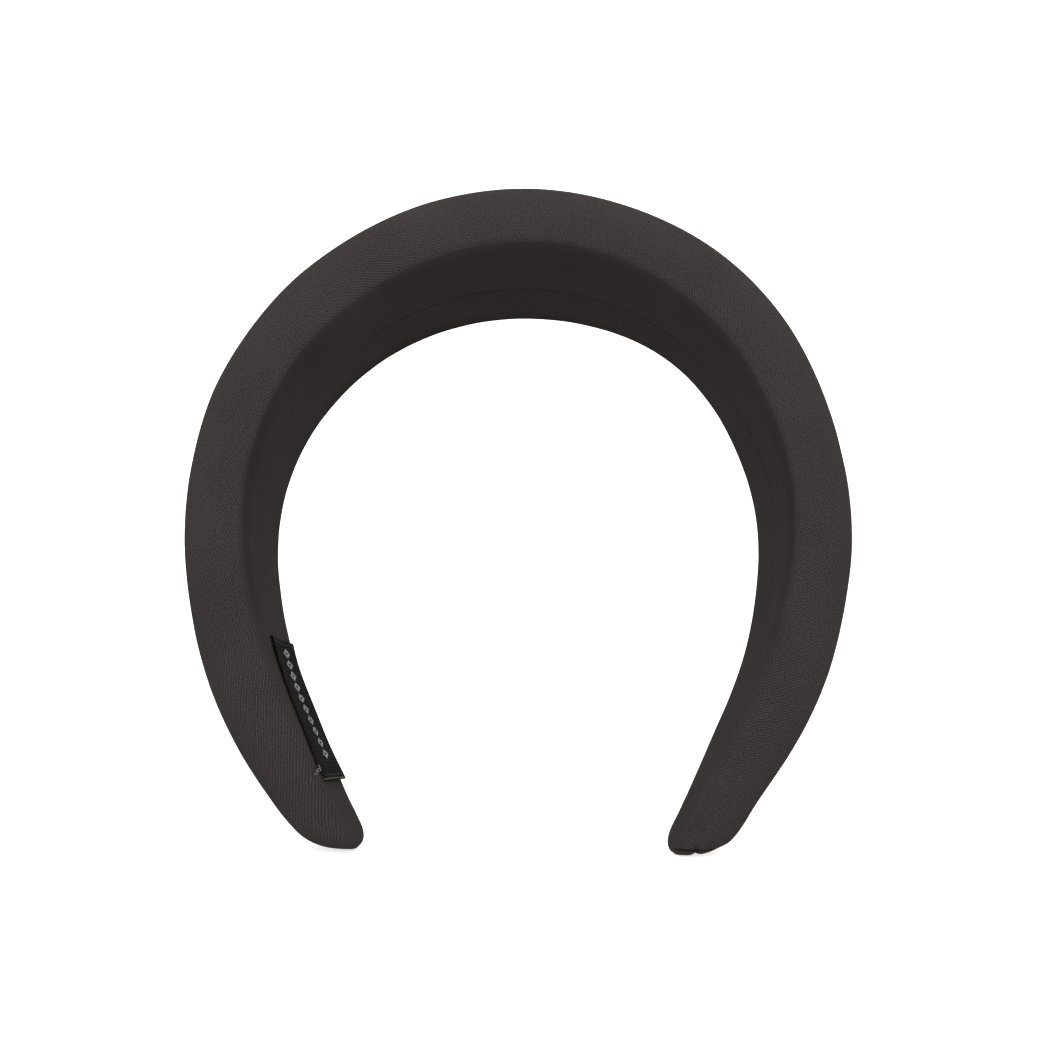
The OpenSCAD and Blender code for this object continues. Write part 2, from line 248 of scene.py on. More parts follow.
def section(u, count, inset=0.0, soften=None):
    """Points (y, h) round the band at u, from one seam edge to the other and closer together at the seam
    and the ridges, with each one's distance from the middle of the outside and from the seam. The corners
    are softer towards the tips."""
    if soften is None:
        soften = 0.28 + 1.1 * smooth((abs(u) - 120) / 60)
    w = band_w(u) / 2
    top = band_h(u)
    a = np.linspace(-90, 270, 1441) * DEG
    inner = np.sin(a) < 0
    power = np.where(inner, 2 / blend(RIDGE_POWER, abs(u) / TIP), 2 / 3)
    y = w * np.sign(np.cos(a)) * np.abs(np.cos(a)) ** power
    ridge = ridge_height(u, y)
    h = np.where(inner, inner_face(u, y), ridge + (top - ridge) * np.sin(a))
    y = y * (w - inset) / w
    h = np.clip(h, inset, None) - inset * smooth((h - ridge) / (top - ridge))
    p = np.stack([y, h], 1)
    d = ring_length(p)
    even = np.linspace(0, d[-1], 1200, endpoint=False)
    p = gauss_ring(along_ring(even, d, p), even[1], soften)
    p = np.vstack([p, p[:1]])
    d = ring_length(p)
    away = np.minimum(d, d[-1] - d)
    ridge_at = (d[np.argmax(p[:, 0])], d[np.argmin(p[:, 0])])
    density = 1 + 6.0 * bell(away, 0, 0.9)
    for at in ridge_at:
        density += 2.0 * bell(d, at, 3.0)
    share = np.concatenate([[0], np.cumsum((density[1:] + density[:-1]) / 2 * np.diff(d))])
    at = np.interp(np.linspace(0, share[-1], count + 1), share, d)
    return along_ring(at, d, p), at - d[-1] / 2, np.minimum(at, d[-1] - at)


def grid_normals(p):
    """Outward unit normals of a grid of points that runs along the arch, then round the band."""
    n = np.cross(np.gradient(p, axis=1), np.gradient(p, axis=0))
    return n / (np.linalg.norm(n, axis=2)[..., None] + 1e-15)


def mesh_object(name, verts, faces, uvs=None):
    me = bpy.data.meshes.new(name)
    me.from_pydata([tuple(v) for v in verts], [], faces)
    if uvs is not None:
        layer = me.uv_layers.new(name="weave")
        loops = np.array([v for f in faces for v in f])
        layer.data.foreach_set("uv", np.asarray(uvs, dtype=np.float32)[loops].ravel())
    me.polygons.foreach_set("use_smooth", [True] * len(me.polygons))
    me.update()
    ob = bpy.data.objects.new(name, me)
    bpy.context.scene.collection.objects.link(ob)
    return ob


def grid_faces(nu, nv, closed=False):
    return [(i * nv + j, i * nv + (j + 1) % nv, (i + 1) * nv + (j + 1) % nv, (i + 1) * nv + j)
            for i in range(nu - 1) for j in range(nv if closed else nv - 1)]


# ---------------------------------------------------------------- materials
TWILL_PITCH = 0.63             # from rib to rib of the cover's cloth (mm)
FLOAT_PITCH = 1.15 * TWILL_PITCH
FLOAT_SHIFT = 2.4              # phase from one rib's floats to the next rib's
RIB_SHARE = 0.68               # of the cloth's relief; the floats have the rest
# below RUBBED the twill is painted darker, as shade beside the ridges of the inner face
RUBBED = 0.25                  # nap of the inner face
TAPE_PITCH = 0.5               # from rib to rib of the label's tape
TAPE_EDGE = 0.5                # width of its corded edges
MARK_PITCH = 2.9               # spacing of the label's lozenges
MARK_HALF_L = 0.42 * MARK_PITCH
MARK_HALF_W = 1.9
MARK_LINE = (0.72, 0.34)       # the outline's middle and half its width, as shares of the half sizes
MARK_COUNT = 10
MARK_UP = 1.2                  # the row's middle is this far above the label's
MARK_BACK = 0.8                # and this far behind it


def new_material(name):
    mat = bpy.data.materials.new(name)
    mat.use_nodes = True
    nt = mat.node_tree
    nt.nodes.clear()
    out = nt.nodes.new("ShaderNodeOutputMaterial")
    sh = nt.nodes.new("ShaderNodeBsdfPrincipled")
    nt.links.new(sh.outputs[0], out.inputs[0])
    return mat, nt, sh


def node(nt, kind, inputs=None, **props):
    n = nt.nodes.new(kind)
    for k, v in props.items():
        setattr(n, k, v)
    for k, v in (inputs or {}).items():
        if isinstance(v, bpy.types.NodeSocket):
            nt.links.new(v, n.inputs[k])
        else:
            n.inputs[k].default_value = v
    return n


def mth(nt, op, a, b=0.0, c=0.0):
    return node(nt, "ShaderNodeMath", {0: a, 1: b, 2: c}, operation=op).outputs[0]


def mix_colour(nt, fac, a, b):
    n = node(nt, "ShaderNodeMix", {"Factor": fac}, data_type="RGBA")
    for sock, v in ((n.inputs[6], a), (n.inputs[7], b)):
        if isinstance(v, bpy.types.NodeSocket):
            nt.links.new(v, sock)
        else:
            sock.default_value = (*v, 1)
    return n.outputs[2]


def wave01(nt, phase):
    return mth(nt, "MULTIPLY_ADD", mth(nt, "SINE", phase), 0.5, 0.5)


def cloth_coords(nt):
    uv = node(nt, "ShaderNodeUVMap", uv_map="weave")
    sep = node(nt, "ShaderNodeSeparateXYZ", {0: uv.outputs[0]})
    return uv.outputs[0], sep.outputs[0], sep.outputs[1]


def twill_material(name, dark, light):
    """A fine twill: ribs that lie across the weave map's first direction, each one a row of short floats.
    The attribute "nap" is 1 where the cloth is fresh and less where it is rubbed smooth, which weakens
    its grain and relief. Below RUBBED the cloth is darker as well: painted shade beside the ridges of the
    inner face."""
    mat, nt, sh = new_material(name)
    uv, across, along = cloth_coords(nt)
    drift = node(nt, "ShaderNodeTexNoise", {"Vector": uv, "Scale": 0.5, "Detail": 2.0}).outputs[0]
    across = mth(nt, "MULTIPLY_ADD", drift, 0.5, across)
    rib = wave01(nt, mth(nt, "MULTIPLY", across, 2 * math.pi / TWILL_PITCH))
    row = mth(nt, "FLOOR", mth(nt, "DIVIDE", across, TWILL_PITCH))
    floats = wave01(nt, mth(nt, "ADD", mth(nt, "MULTIPLY", along, 2 * math.pi / FLOAT_PITCH),
                            mth(nt, "MULTIPLY", row, FLOAT_SHIFT)))
    height = mth(nt, "ADD", mth(nt, "MULTIPLY", rib, RIB_SHARE),
                 mth(nt, "MULTIPLY", floats, 1 - RIB_SHARE))
    fibre = node(nt, "ShaderNodeTexNoise",
                 {"Vector": uv, "Scale": 2.2, "Detail": 4.0, "Roughness": 0.75}).outputs[0]
    cloud = node(nt, "ShaderNodeTexNoise", {"Vector": uv, "Scale": 0.05, "Detail": 3.0}).outputs[0]
    nap_and_shade = node(nt, "ShaderNodeAttribute", attribute_name="nap_and_shade").outputs["Fac"]
    grain = mth(nt, "MULTIPLY_ADD", height, 0.8, mth(nt, "MULTIPLY_ADD", fibre, 2.6, -1.7))
    # painted shade: below RUBBED the tone is darker, beside the ridges of the inner face
    painted_shade_tone = mth(nt, "MULTIPLY_ADD", mth(nt, "MINIMUM", nap_and_shade, RUBBED), 0.9, 0.5 - 0.9 * RUBBED)
    tone = mth(nt, "MULTIPLY_ADD", grain, nap_and_shade, painted_shade_tone)
    tone = mth(nt, "ADD", tone, mth(nt, "MULTIPLY_ADD", cloud, 0.4, -0.2))
    nt.links.new(mix_colour(nt, tone, dark, light), sh.inputs["Base Color"])
    nt.links.new(mth(nt, "MULTIPLY_ADD", fibre, 0.1, 0.85), sh.inputs["Roughness"])
    sh.inputs["Specular IOR Level"].default_value = 0.12
    relief = mth(nt, "MULTIPLY_ADD", fibre, 0.9, height)
    bump = node(nt, "ShaderNodeBump", {"Strength": nap_and_shade, "Distance": 0.0002, "Height": relief})
    nt.links.new(bump.outputs[0], sh.inputs["Normal"])
    return mat


def thread_material(name, colour, scale=2600):
    mat, nt, sh = new_material(name)
    co = node(nt, "ShaderNodeTexCoord").outputs["Object"]
    n = node(nt, "ShaderNodeTexNoise", {"Vector": co, "Scale": scale, "Detail": 3.0}).outputs[0]
    nt.links.new(mix_colour(nt, n, tuple(0.6 * c for c in colour), tuple(1.5 * c for c in colour)),
                 sh.inputs["Base Color"])
    nt.links.new(mth(nt, "MULTIPLY_ADD", n, 0.2, 0.6), sh.inputs["Roughness"])
    sh.inputs["Specular IOR Level"].default_value = 0.3
    sh.inputs["Sheen Weight"].default_value = 0.15
    bump = node(nt, "ShaderNodeBump", {"Strength": 0.6, "Distance": 0.00004, "Height": n})
    nt.links.new(bump.outputs[0], sh.inputs["Normal"])
    return mat


def plastic_material(name):
    mat, nt, sh = new_material(name)
    co = node(nt, "ShaderNodeTexCoord").outputs["Object"]
    fine = node(nt, "ShaderNodeTexNoise", {"Vector": co, "Scale": 1800.0, "Detail": 2.0}).outputs[0]
    flow = node(nt, "ShaderNodeTexNoise", {"Vector": co, "Scale": 40.0, "Detail": 2.0}).outputs[0]
    nt.links.new(mix_colour(nt, flow, (0.74, 0.73, 0.70), (0.84, 0.83, 0.80)), sh.inputs["Base Color"])
    nt.links.new(mth(nt, "MULTIPLY_ADD", fine, 0.15, 0.38), sh.inputs["Roughness"])
    bump = node(nt, "ShaderNodeBump", {"Strength": 0.25, "Distance": 0.00003, "Height": fine})
    nt.links.new(bump.outputs[0], sh.inputs["Normal"])
    return mat


def felt_material(name):
    mat, nt, sh = new_material(name)
    co = node(nt, "ShaderNodeTexCoord").outputs["Object"]
    fibres = node(nt, "ShaderNodeTexNoise",
                  {"Vector": co, "Scale": 900.0, "Detail": 5.0, "Roughness": 0.8}).outputs[0]
    nt.links.new(mix_colour(nt, fibres, (0.30, 0.285, 0.26), (0.52, 0.50, 0.46)), sh.inputs["Base Color"])
    sh.inputs["Roughness"].default_value = 0.95
    sh.inputs["Sheen Weight"].default_value = 0.4
    bump = node(nt, "ShaderNodeBump", {"Strength": 0.7, "Distance": 0.00015, "Height": fibres})
    nt.links.new(bump.outputs[0], sh.inputs["Normal"])
    return mat


def foam_material(name):
    mat, nt, sh = new_material(name)
    co = node(nt, "ShaderNodeTexCoord").outputs["Object"]
    cells = node(nt, "ShaderNodeTexVoronoi", {"Vector": co, "Scale": 1300.0}).outputs[0]
    big = node(nt, "ShaderNodeTexNoise", {"Vector": co, "Scale": 60.0, "Detail": 3.0}).outputs[0]
    base = mix_colour(nt, big, (0.74, 0.68, 0.53), (0.84, 0.79, 0.66))
    colour = mix_colour(nt, mth(nt, "POWER", cells, 1.5), base, (0.45, 0.40, 0.29))
    nt.links.new(colour, sh.inputs["Base Color"])
    sh.inputs["Roughness"].default_value = 0.95
    bump = node(nt, "ShaderNodeBump", {"Strength": 0.8, "Distance": 0.0003, "Height": cells}, invert=True)
    nt.links.new(bump.outputs[0], sh.inputs["Normal"])
    return mat


def apart(nt, value, middle):
    """How far the value is from the middle."""
    return mth(nt, "ABSOLUTE", mth(nt, "SUBTRACT", value, middle))


def lozenges(nt, along, across):
    """1 on a row of lozenge outlines, and 0 elsewhere."""
    cell = mth(nt, "FRACT", mth(nt, "MULTIPLY_ADD", along, 1 / MARK_PITCH, 100.5))
    half_l = mth(nt, "DIVIDE", apart(nt, cell, 0.5), MARK_HALF_L / MARK_PITCH)
    half_w = mth(nt, "DIVIDE", apart(nt, across, MARK_BACK), MARK_HALF_W)
    outline = mth(nt, "LESS_THAN", apart(nt, mth(nt, "ADD", half_l, half_w), MARK_LINE[0]), MARK_LINE[1])
    row = mth(nt, "LESS_THAN", apart(nt, along, MARK_UP), MARK_COUNT / 2 * MARK_PITCH)
    return mth(nt, "MULTIPLY", outline, row)


def label_material(name):
    """Black woven tape with corded edges, and one row of small pale lozenges."""
    mat, nt, sh = new_material(name)
    uv, along, across = cloth_coords(nt)
    ribs = wave01(nt, mth(nt, "MULTIPLY", along, 2 * math.pi / TAPE_PITCH))
    cords = wave01(nt, mth(nt, "MULTIPLY", across, 2 * math.pi / TAPE_PITCH))
    fibre = node(nt, "ShaderNodeTexNoise", {"Vector": uv, "Scale": 2.5, "Detail": 3.0}).outputs[0]
    weave = mth(nt, "MULTIPLY", ribs, cords)
    tone = mth(nt, "ADD", mth(nt, "MULTIPLY", weave, 1.6), mth(nt, "MULTIPLY_ADD", fibre, 3.0, -1.6))
    ground = mix_colour(nt, tone, (0.0010, 0.0010, 0.0011), (0.030, 0.0295, 0.029))
    edge = mth(nt, "GREATER_THAN", mth(nt, "ABSOLUTE", across), LABEL_W / 2 - TAPE_EDGE)
    ground = mix_colour(nt, mth(nt, "MULTIPLY", edge, ribs), ground, (0.006, 0.006, 0.006))
    yarn = mth(nt, "GREATER_THAN", mth(nt, "ADD", weave, fibre), 0.55)
    mark = mth(nt, "MULTIPLY", lozenges(nt, along, across), yarn)
    nt.links.new(mix_colour(nt, mark, ground, (0.42, 0.42, 0.41)), sh.inputs["Base Color"])
    sh.inputs["Roughness"].default_value = 0.75
    sh.inputs["Specular IOR Level"].default_value = 0.06
    relief = mth(nt, "ADD", weave, mth(nt, "MULTIPLY", mark, 0.8))
    bump = node(nt, "ShaderNodeBump", {"Strength": 0.6, "Distance": 0.0001, "Height": relief})
    nt.links.new(bump.outputs[0], sh.inputs["Normal"])
    return mat


cover_mat = twill_material("charcoal_twill", (0.0200, 0.0161, 0.0160), (0.0600, 0.0484, 0.0478))
lining_mat = twill_material("twill_reverse", (0.0200, 0.0165, 0.0160), (0.0460, 0.0390, 0.0380))
thread_mat = thread_material("dark_thread", (0.006, 0.0055, 0.0055))
knot_mat = thread_material("pale_thread", (0.13, 0.12, 0.115))
hoop_mat = plastic_material("moulded_plastic")
felt_mat = felt_material("pressed_felt")
foam_mat = foam_material("pad_foam")
label_mat = label_material("woven_tape")

# ---------------------------------------------------------------- cover
ROUND = 5.0                    # the ends round off over this length
ROUND_START = TIP - ROUND
ROUND_IN = (4.3, 1.8, 3.0)     # inset of the rim: front and back, inner face, outside
RIM_STEPS = 46                 # rings over the rounded rim
TUCK_STEPS = 8                 # and under it
TUCK_RISE = 1.4                # the tucked ends rise this far to the slit between them
TIP_MIDDLE = 5                 # middle of the tip, this far outside the inner face
AROUND = 130                   # steps round the band
ALONG = (1.5, 0.6)             # steps along it, and near its tips
FINE_LENGTH = 14               # which is this length of each arm
CLOTH_T = 0.4
SETTLE_GRID = (171, 60)        # lengths along the band and steps round it where the cloth settles
HELD = 0.10                    # how firmly the cloth is held; on the hoop and at the tips it is 1
HELD_BESIDE = 2.5              # half firmly over this width beside the hoop
HELD_NEAR_TIP = 10             # and ever more firmly over this length before the tips
MOST_BULGE = 0.5               # the settled cloth moves no further than this
STITCH_PITCH = 4.2
RIB_ANGLE = 41 * DEG           # of the twill at the crown
RIB_TURN = 12 * DEG            # by which it has turned at the +X tip


def stations(step, near_tip):
    """Lengths from tip to tip, closer together near the tips."""
    fine_start = ROUND_START - FINE_LENGTH
    inner = np.linspace(0, fine_start, int(fine_start / step) + 1)
    outer = np.linspace(fine_start, ROUND_START, int(FINE_LENGTH / near_tip) + 1)[1:]
    half = np.concatenate([inner, outer])
    return np.concatenate([-half[::-1], half[1:]])


def fold_noise(q, size, shift=0.0):
    return noise.noise(Vector(q / size) + Vector((shift, shift, shift)))


def settle(p, pin, pressure, frames=20):
    """Lets a sheet of points settle as Cloth with pressure inside, and returns the points."""
    ob = mesh_object("settling", p.reshape(-1, 3), grid_faces(*p.shape[:2]))
    group = ob.vertex_groups.new(name="held")
    for k, w in enumerate(pin.ravel()):
        group.add([k], float(w), "REPLACE")
    mod = ob.modifiers.new("cloth", "CLOTH")
    st = mod.settings
    st.quality = 6
    st.mass = 0.25
    st.tension_stiffness = 25
    st.compression_stiffness = 25
    st.shear_stiffness = 15
    st.bending_stiffness = 0.6
    st.use_pressure = True
    st.uniform_pressure_force = pressure
    st.effector_weights.gravity = 0
    st.vertex_group_mass = "held"
    mod.collision_settings.use_collision = False
    mod.point_cache.frame_start = 1
    mod.point_cache.frame_end = frames
    scene = bpy.context.scene
    for f in range(1, frames + 1):
        scene.frame_set(f)
    done = ob.evaluated_get(bpy.context.evaluated_depsgraph_get())
    co = np.empty(p.size)
    done.data.vertices.foreach_get("co", co)
    co = co.reshape(p.shape)
    scene.frame_set(1)
    data = ob.data
    bpy.data.objects.remove(ob)
    bpy.data.meshes.remove(data)
    return co


def settled_bulge():
    """How far the settled cloth stands off the shape it starts from, in mm, over lengths and over shares
    of the girth."""
    lengths, count = SETTLE_GRID
    us = np.linspace(-ROUND_START, ROUND_START, lengths)
    rows = [section(u, count) for u in us]
    p = np.stack([made(u, *r[0].T) for u, r in zip(us, rows)])
    held = np.empty(p.shape[:2])
    for i, (u, r) in enumerate(zip(us, rows)):
        wider = np.clip((band_w(u) - WIDTHS[-1]) / (WIDTHS[0] - WIDTHS[-1]), 0, 1)
        hoop_half = (HOOP_W[0] + (HOOP_W[1] - HOOP_W[0]) * wider) / 2
        held[i] = np.where(r[2] < hoop_half, 1.0, np.where(r[2] < hoop_half + HELD_BESIDE, 0.5, HELD))
        held[i] = np.maximum(held[i], 1 - (TIP - abs(u) - ROUND) / HELD_NEAR_TIP)
    off = np.einsum("ijk,ijk->ij", settle(p, held, pressure=4.0) - p, grid_normals(p)) / MM
    return us, np.linspace(0, 1, count + 1), off


def sample_bulge(us, count):
    lengths, shares, off = settled_bulge()
    at = np.linspace(0, 1, count + 1)
    rows = np.stack([np.interp(at, shares, row) for row in off])
    return np.stack([np.interp(us, lengths, rows[:, j]) for j in range(count + 1)], 1)


def weave_map(u, v):
    """Millimetres across and along the twill's ribs, which turn slowly from one tip to the other."""
    rate = RIB_TURN / TIP
    angle = RIB_ANGLE + rate * u
    across = (np.cos(angle) - math.cos(RIB_ANGLE)) / rate + v * np.cos(angle)
    along = (np.sin(angle) - math.sin(RIB_ANGLE)) / rate + v * np.sin(angle)
    return np.stack([across, along], -1)


def seam_shown(u):
    """1 where the seam lies open, at the crown and down the +X side, and 0 where it is drawn tight."""
    return smooth((u + 85) / 40) * (1 - smooth((u - 95) / 40))


def eased(u):
    """How far the inner face bulges at the +X shoulder, where the cover lies tightest on the felt."""
    return 0.28 * bell(u, 34, 30)


def seam_shape(u, seam):
    """The narrow dip where the two folded edges meet."""
    depth = SEAM_DEPTH * (0.08 + 0.92 * seam_shown(u))
    return -depth * np.exp(-(seam / 0.38) ** 1.5)


def tip_rings(arm, base, v):
    """Rings round the end of one arm: over the rounded rim, then tucked under to a slit. The base is the
    (y, h) of the ring before them, and each ring is (points, u, v)."""
    side = np.where(np.arange(len(v)) * 2 < len(v), 1.0, -1.0)
    w0 = band_w(ROUND_START) / 2
    top0 = band_h(ROUND_START)
    rings = []
    for k in range(1, RIM_STEPS + 1):
        f = 90 * DEG * k / RIM_STEPS
        u = ROUND_START + ROUND * math.sin(f)
        iy, ii, io = ((1 - math.cos(f)) * m for m in ROUND_IN)
        y = base[:, 0] * (band_w(u) / 2 - iy) / w0
        h = ii + base[:, 1] * (band_h(u) - io - ii) / top0
        y = np.where(np.abs(y) < SEAM_GAP, side * SEAM_GAP, y)
        rise = 0
        if arm > 0:
            sink, rise = lapped_end(f / DEG, y, h)
            share = 1 - sink / (np.hypot(y, h - TIP_MIDDLE) + 0.5)
            y = y * share
            h = TIP_MIDDLE + (h - TIP_MIDDLE) * share
        q = made(arm * u, y, h)
        q[:, 2] += rise * MM
        rings.append((q, arm * u, v))
    slit = 0.5 * arm
    for k in range(1, TUCK_STEPS + 1):  # inwards from the last ring's y, h and rise
        t = k / TUCK_STEPS
        yy = y * (1 - t) + (slit + 0.06 * side) * t
        hh = h * (1 - t) + np.clip(h, h.min() + 0.9, h.max() - 0.9) * t
        q = made(arm * TIP, yy, hh)
        q[:, 2] += (TUCK_RISE * t ** 3 + 0.12 * np.sin(hh * 2.2) * t) * MM
        q[:, 2] += rise * (1 - t) * MM
        rings.append((q, arm * (TIP + 4 * t), v))
    return rings


def lapped_end(angle, y, h):
    """At the +X tip the front cloth laps over the tucked end: a gap along the rim, broken by a notch with
    a small pleat above it. Returns how far the surface sinks in and how far it is drawn up, in mm, at an
    angle in degrees round the rim."""
    front = smooth((0.5 - y) / 2.0)
    edge = 37 - 2.9 * np.maximum(h - 6.5, 0)  # the angle at which the front cloth ends
    along = smooth((h - 0.2) / 1.0)
    step = smooth((angle - edge) / 5) * along
    gap = bell(angle, edge + 2, 2.8) * along
    notch = bell(h, 6.0, 0.7) * smooth((angle - 30) / 35)
    pleat = bell(h, 5.8 - 0.07 * (50 - angle), 0.55)
    pleat = pleat * smooth((angle - 10) / 20) * smooth((55 - angle) / 8)
    return (0.35 * step + 1.4 * gap + 0.6 * notch + 0.9 * pleat) * front, 0.6 * notch * front


def nap_and_painted_shade_of(u, y, h):
    """1 on the outside, and RUBBED on the inner face, which is rubbed smooth. Beside the inner face's
    ridges (the front one down to the lower arms, the back one at the crown) it falls below RUBBED, as
    painted shade."""
    v = np.abs(u)
    fresh = smooth((h - ridge_height(u, y)) / 0.5 + 1.8)
    # painted shade: darker beside the front ridge down to the lower arms, and beside the back ridge at
    # the crown
    beside = smooth((np.abs(y) / (band_w(u) / 2) - 0.55) / 0.3)
    beside = beside * np.where(y < 0, 1 - smooth((v - 100) / 40), 1 - smooth((v - 40) / 40))
    return RUBBED + (1 - RUBBED) * fresh - RUBBED * beside * (1 - fresh)


def unevenness(q):
    """Slow and quicker ups and downs of the padding at a point in mm."""
    return 0.22 * fold_noise(q, 24, 7) + 0.05 * fold_noise(q, 7, 3)


def make_cover():
    us = stations(*ALONG)
    sections = [section(u, AROUND) for u in us]
    y, h = np.moveaxis(np.stack([s[0] for s in sections]), 2, 0)
    v = np.stack([s[1] for s in sections])
    seam = np.stack([s[2] for s in sections])
    u = np.repeat(us[:, None], AROUND + 1, 1)
    side = np.where(np.arange(AROUND + 1) * 2 < AROUND, 1.0, -1.0)[None]
    y = np.where(np.abs(y) < SEAM_GAP, side * SEAM_GAP, y)
    p = made(u, y, h)
    normal = grid_normals(p)
    off = seam_shape(u, seam) + eased(u) * np.exp(-(seam / 12) ** 4)
    pulled = np.sin(2 * math.pi * u / STITCH_PITCH + 1.3 * np.sin(u / 17))
    off += 0.04 * pulled * bell(seam, 0, 2.0)
    gathers = np.sin(v * 1.3 + 1.1 * np.sin(u * 0.35))
    off += 0.10 * gathers * bell(np.abs(u), TIP - 4, 6) * smooth(seam / 4)
    lumps = np.array([[unevenness(q) for q in row] for row in p / MM])
    off += lumps * (0.3 + 0.7 * smooth(seam / 3.0))
    bulge = sample_bulge(us, AROUND)
    off += MOST_BULGE * np.tanh((bulge - np.median(bulge)) / MOST_BULGE) * smooth((seam - 8) / 5)
    p = p + normal * off[..., None] * MM

    rings = [(row, a, b) for row, a, b in zip(p, us, v)]
    # nap of each ring, which also carries the painted shade beside the ridges of the inner face
    nap_and_shade = list(nap_and_painted_shade_of(u, y, h))
    for arm, at in ((-1, 0), (1, -1)):
        end = tip_rings(arm, sections[at][0], v[at])
        nap_and_shade = [nap_and_shade[0]] * len(end) + nap_and_shade if arm < 0 else nap_and_shade + [nap_and_shade[-1]] * len(end)
        for k, ring in enumerate(end):
            fade = max(0.0, 1 - (k + 1) / RIM_STEPS)
            ring[0][:] += normal[at] * (off[at] * fade)[:, None] * MM
        rings = end[::-1] + rings if arm < 0 else rings + end
    points = np.stack([r[0] for r in rings])
    weave = np.stack([weave_map(r[1] + 0 * r[2], r[2]) for r in rings])
    faces = grid_faces(len(rings), AROUND + 1)
    ob = mesh_object("cover_cloth", points.reshape(-1, 3), faces, weave.reshape(-1, 2))
    ob.data.attributes.new("nap_and_shade", "FLOAT", "POINT").data.foreach_set("value", np.stack(nap_and_shade).ravel())
    ob.data.materials.append(cover_mat)
    ob.data.materials.append(lining_mat)
    mod = ob.modifiers.new("thickness", "SOLIDIFY")
    mod.thickness = CLOTH_T * MM
    mod.offset = -1
    mod.use_rim = True
    mod.material_offset = 1
    mod.material_offset_rim = 0
    return ob


cover = make_cover()
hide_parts("cover")
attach(cover, "root")


# ---------------------------------------------------------------- foam pad, with its channel for the hoop
FOAM_IN = 1.6                  # the foam lies this far inside the cover's shape
CHANNEL_TOP = 3.7
CHANNEL_GAP = 0.3              # on either side of the hoop
CHANNEL_CORNER = 0.25


def make_foam():
    us = np.linspace(-ROUND_START + 1, ROUND_START - 1, 190)
    outer_count = 44
    channel_count = 16
    rows = []
    for u in us:
        ring, _, seam = section(u, 120, inset=FOAM_IN, soften=0.8)
        up = max(0.0, place(u, 0, 0)[2] / MM - HOOP_END_Z) / (CROWN_Z - HOOP_END_Z)
        half = (HOOP_W[0] + (HOOP_W[1] - HOOP_W[0]) * up) / 2 + CHANNEL_GAP
        keep = ring[seam > half + 1.0]
        d = ring_length(keep)
        outer = along_ring(np.linspace(0, d[-1], outer_count), d, keep)
        low = min(outer[0, 1], CHANNEL_TOP - 0.5)
        side = CHANNEL_TOP - CHANNEL_CORNER
        flat = half - CHANNEL_CORNER
        path = np.array([[-half, low], [-half, side], [-flat, CHANNEL_TOP],
                         [flat, CHANNEL_TOP], [half, side], [half, low]])
        d = ring_length(path)
        channel = along_ring(np.linspace(0, d[-1], channel_count), d, path)
        rows.append(place(u, *np.vstack([outer, channel]).T))
    points = np.stack(rows)
    outside = points[:, :outer_count] / MM
    lumps = [[[fold_noise(q, 3, k) for k in (0, 9, -9)] for q in row] for row in outside]
    points[:, :outer_count] += 0.12 * MM * np.array(lumps)
    count = outer_count + channel_count
    faces = grid_faces(len(us), count, closed=True)
    faces.append(tuple(range(count))[::-1])
    faces.append(tuple((len(us) - 1) * count + j for j in range(count)))
    ob = mesh_object("foam_core", points.reshape(-1, 3), faces)
    ob.data.materials.append(foam_mat)
    return ob


foam = make_foam()
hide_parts("foam_pad")
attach(foam, "root")


# ---------------------------------------------------------------- threads
SEAM_THREAD_R = 0.19           # half the thickness of each thread (mm)
LABEL_THREAD_R = 0.11
HEM_THREAD_R = 0.07
KNOT_THREAD_R = 0.10
TIP_THREAD_R = 0.12


def tube(points, radius, sides=7):
    """A thread along points: rings of vertices and faces, with round ends."""
    pts = np.asarray(points, float)
    ahead = np.gradient(pts, axis=0)
    ahead /= np.linalg.norm(ahead, axis=1)[:, None] + 1e-15
    ref = np.array([0.0, 0.0, 1.0]) if abs(ahead[0][2]) < 0.9 else np.array([1.0, 0.0, 0.0])
    across = np.cross(ahead[0], ref)
    verts = []
    for i, (p, d) in enumerate(zip(pts, ahead)):
        across = across - d * np.dot(across, d)
        across /= np.linalg.norm(across) + 1e-15
        up = np.cross(d, across)
        r = radius * (0.35 if i in (0, len(pts) - 1) else 1)
        verts += [p + r * (math.cos(a) * across + math.sin(a) * up)
                  for a in np.linspace(0, 2 * math.pi, sides, endpoint=False)]
    faces = [q[::-1] for q in grid_faces(len(pts), sides, closed=True)]
    faces.append(tuple(range(sides)))
    faces.append(tuple((len(pts) - 1) * sides + k for k in range(sides))[::-1])
    return verts, faces


def thread_object(name, threads, mats, cad):
    """One object that stands for the CAD node, from threads: (points, radius in mm, material number)."""
    verts, faces, numbers = [], [], []
    for points, radius, number in threads:
        v, f = tube(points, radius * MM)
        faces += [tuple(k + len(verts) for k in q) for q in f]
        verts += v
        numbers += [number] * len(f)
    ob = mesh_object(name, verts, faces)
    for mat in mats:
        ob.data.materials.append(mat)
    ob.data.polygons.foreach_set("material_index", numbers)
    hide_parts(cad)
    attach(ob, "root")
    return ob


def seam_stitches():
    """Ladder stitches that draw the two folded edges together. The thread lies deep inside the seam, and
    shows as a fine dark line where the seam is open."""
    us = np.arange(-TIP + 7, TIP - 7, 0.7)
    shown = seam_shown(us)
    ys = 0.22 * np.sign(np.sin(2 * math.pi * us / STITCH_PITCH)) * (1 - 0.85 * shown)
    ys = np.convolve(np.pad(ys, 1, "edge"), [0.25, 0.5, 0.25], "valid")
    depth = 0.86 - 0.60 * shown - eased(us)
    return [(made(us, ys, depth), SEAM_THREAD_R, 0)]


thread_object("seam_ladder_stitch", seam_stitches(), [thread_mat], "seam_thread")

# ---------------------------------------------------------------- label
LABEL_MIDDLE = TIP - LABEL_FROM_TIP - LABEL_L / 2
HEM = 3.0                      # turned under at each end
TAPE_T = 0.22
CORNER_IN = 1.3                # the lower front corner is drawn in this far
STITCH_COUNT = 6               # across each end
STITCH_IN = 1.0                # from the edges of the tape


